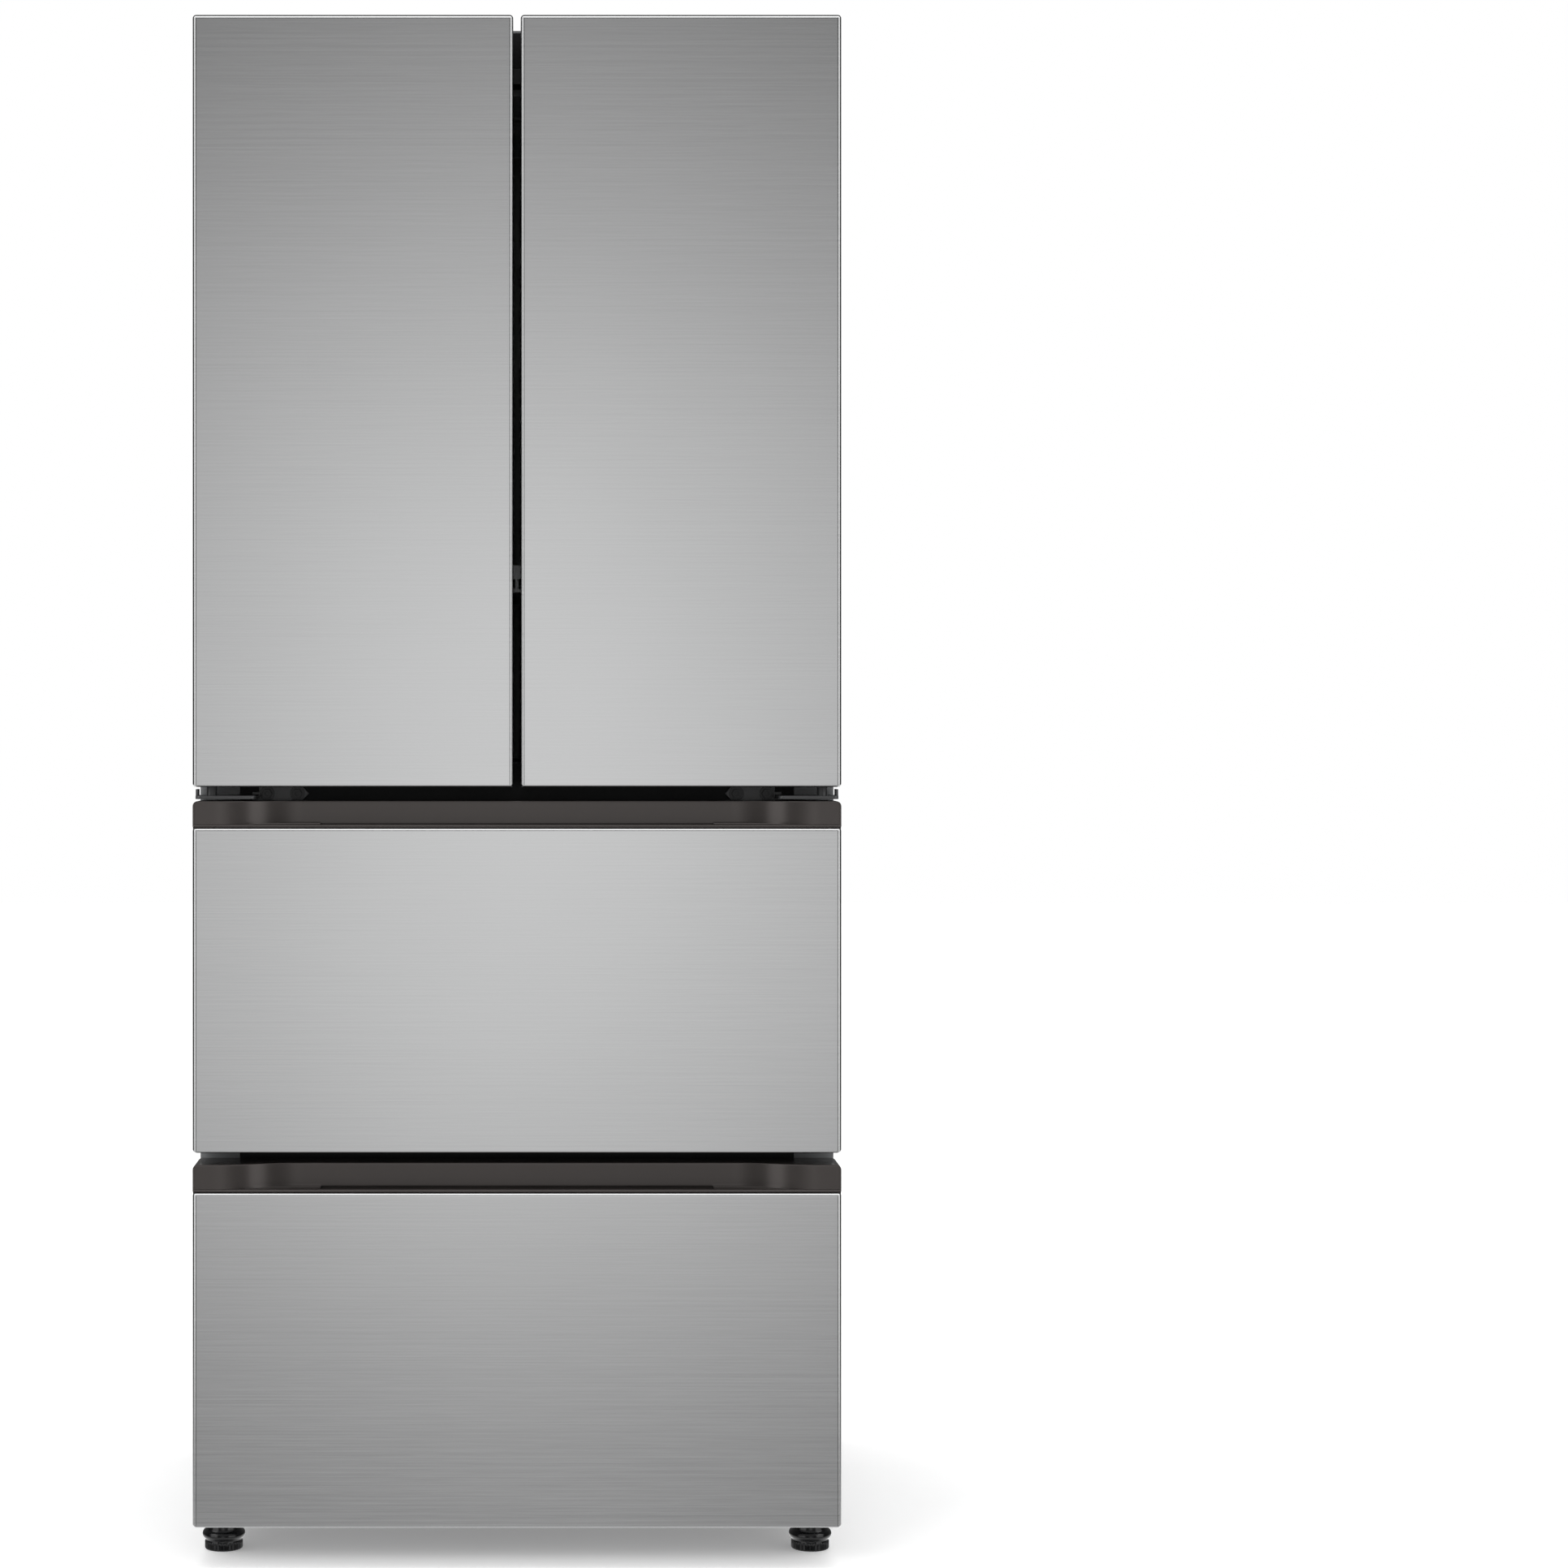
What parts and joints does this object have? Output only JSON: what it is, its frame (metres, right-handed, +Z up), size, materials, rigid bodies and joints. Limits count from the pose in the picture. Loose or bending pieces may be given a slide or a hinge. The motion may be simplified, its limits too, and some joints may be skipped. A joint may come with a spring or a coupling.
{
  "type": "french door refrigerator",
  "caption": "Free-standing refrigerator with two stainless fridge doors over a middle drawer and a freezer drawer, both pulled by dark scooped handle bands.",
  "frame": {"origin": "on the floor under the centre of the appliance", "axes": "+X to the right seen from the front, -Y towards the user, +Z up"},
  "size_m": [0.756, 0.74, 1.816],
  "materials": {
    "stainless": "fine horizontal brushing, satin",
    "handle_trim": "dark metallic satin",
    "case_paint": "grey textured paint",
    "galvanised": "galvanised sheet",
    "foam": "rigid polyurethane foam",
    "liner": "thermoformed, satin white",
    "dark_steel": "black paint",
    "rail_steel": "zinc plated",
    "cap_plastic": "moulded dark grey",
    "gasket": "soft vinyl seal",
    "clear_plastic": "clear moulded",
    "glass": "tempered, clear",
    "shelf_trim": "satin silver",
    "black_plastic": "moulded black",
    "gloss_black": "glossy black",
    "machine_black": "black enamel",
    "aluminium": "mill finish",
    "panel_grey": "satin grey",
    "basket": "translucent white",
    "rubber": "black rubber",
    "screw_black": "black oxide",
    "rail_black": "satin black"
  },
  "bodies": {
    "cabinet": {"cabinet_shell": "case_paint", "back_panel": "galvanised", "insulation_foam": "foam", "fridge_liner": "liner", "drawer_liners": "liner", "front_rails": "rail_black", "base_frame": "dark_steel", "machine_cover": "dark_steel", "compressor": "machine_black", "condenser": "machine_black", "condenser_fan_bracket": "galvanised", "drain_pan": "black_plastic", "evaporator": "aluminium", "air_duct_panels": "liner", "top_hinges": "rail_steel", "hinge_covers": "cap_plastic", "middle_hinges": "dark_steel", "fasteners": "screw_black", "mullion_guide": "black_plastic", "shelf_glass": "glass", "shelf_trims": "shelf_trim", "control_panel": "panel_grey", "fixed_rails": "rail_steel", "cord_gland": "rubber"},
    "door_left": {"door_left_skin": "stainless", "door_left_foam": "foam", "door_left_caps": "cap_plastic", "door_left_liner": "liner", "door_left_gasket": "gasket", "door_left_bins": "clear_plastic"},
    "mullion": {"flip_mullion": "black_plastic"},
    "door_right": {"door_right_skin": "stainless", "door_right_foam": "foam", "door_right_caps": "cap_plastic", "door_right_liner": "liner", "door_right_gasket": "gasket", "door_right_bins": "clear_plastic"},
    "drawer_middle": {"middle_skin": "stainless", "middle_handle": "handle_trim", "middle_foam": "foam", "middle_panel": "liner", "middle_gasket": "gasket", "middle_basket": "basket", "middle_rails": "rail_steel"},
    "rail_middle": {"middle_rail_members": "rail_steel"},
    "drawer_freezer": {"freezer_skin": "stainless", "freezer_handle": "handle_trim", "freezer_foam": "foam", "freezer_panel": "liner", "freezer_gasket": "gasket", "freezer_basket": "basket", "freezer_rails": "rail_steel"},
    "rail_freezer": {"freezer_rail_members": "rail_steel"},
    "crisper_left": {"crisper_left": "clear_plastic"},
    "crisper_right": {"crisper_right": "clear_plastic"},
    "foot_left": {"foot_left": "gloss_black"},
    "foot_right": {"foot_right": "gloss_black"},
    "rollers": {"rear_rollers": "black_plastic"},
    "condenser_fan": {"condenser_fan": "black_plastic"},
    "evaporator_fan": {"evaporator_fan": "basket"}
  },
  "joints": [
    {"name": "door_left_swing", "type": "hinge", "parent": "cabinet", "child": "door_left", "pos_m": [-0.358, -0.34, 1.36], "axis": [0, 0, -1], "range_deg": [0, 110]},
    {"name": "door_right_swing", "type": "hinge", "parent": "cabinet", "child": "door_right", "pos_m": [0.358, -0.34, 1.36], "axis": [0, 0, 1], "range_deg": [0, 110]},
    {"name": "drawer_middle_slide", "type": "slide", "parent": "cabinet", "child": "drawer_middle", "axis": [0, -1, 0], "range_m": [0, 0.38]},
    {"name": "drawer_freezer_slide", "type": "slide", "parent": "cabinet", "child": "drawer_freezer", "axis": [0, -1, 0], "range_m": [0, 0.34]},
    {"name": "rail_middle_slide", "type": "slide", "parent": "cabinet", "child": "rail_middle", "axis": [0, -1, 0], "range_m": [0, 0.19]},
    {"name": "rail_freezer_slide", "type": "slide", "parent": "cabinet", "child": "rail_freezer", "axis": [0, -1, 0], "range_m": [0, 0.17]},
    {"name": "crisper_left_slide", "type": "slide", "parent": "cabinet", "child": "crisper_left", "axis": [0, -1, 0], "range_m": [0, 0.08]},
    {"name": "crisper_right_slide", "type": "slide", "parent": "cabinet", "child": "crisper_right", "axis": [0, -1, 0], "range_m": [0, 0.08]},
    {"name": "mullion_fold", "type": "hinge", "parent": "door_left", "child": "mullion", "pos_m": [-0.027, -0.29, 1.34], "axis": [0, 0, -1], "range_deg": [0, 90]},
    {"name": "foot_left_turn", "type": "hinge", "parent": "cabinet", "child": "foot_left", "pos_m": [-0.35, -0.273, 0.01], "axis": [0, 0, 1], "continuous": true},
    {"name": "foot_right_turn", "type": "hinge", "parent": "cabinet", "child": "foot_right", "pos_m": [0.35, -0.273, 0.01], "axis": [0, 0, 1], "continuous": true},
    {"name": "roller_spin", "type": "hinge", "parent": "cabinet", "child": "rollers", "pos_m": [0, 0.3, 0.016], "axis": [1, 0, 0], "continuous": true},
    {"name": "fan_condenser_spin", "type": "hinge", "parent": "cabinet", "child": "condenser_fan", "pos_m": [0.01, 0.268, 0.16], "axis": [1, 0, 0], "continuous": true},
    {"name": "fan_evaporator_spin", "type": "hinge", "parent": "cabinet", "child": "evaporator_fan", "pos_m": [0, 0.268, 0.805], "axis": [0, 1, 0], "continuous": true}
  ],
  "couplings": [
    {"joint": "rail_middle_slide", "follows": "drawer_middle_slide", "ratio": 0.5},
    {"joint": "rail_freezer_slide", "follows": "drawer_freezer_slide", "ratio": 0.5}
  ]
}
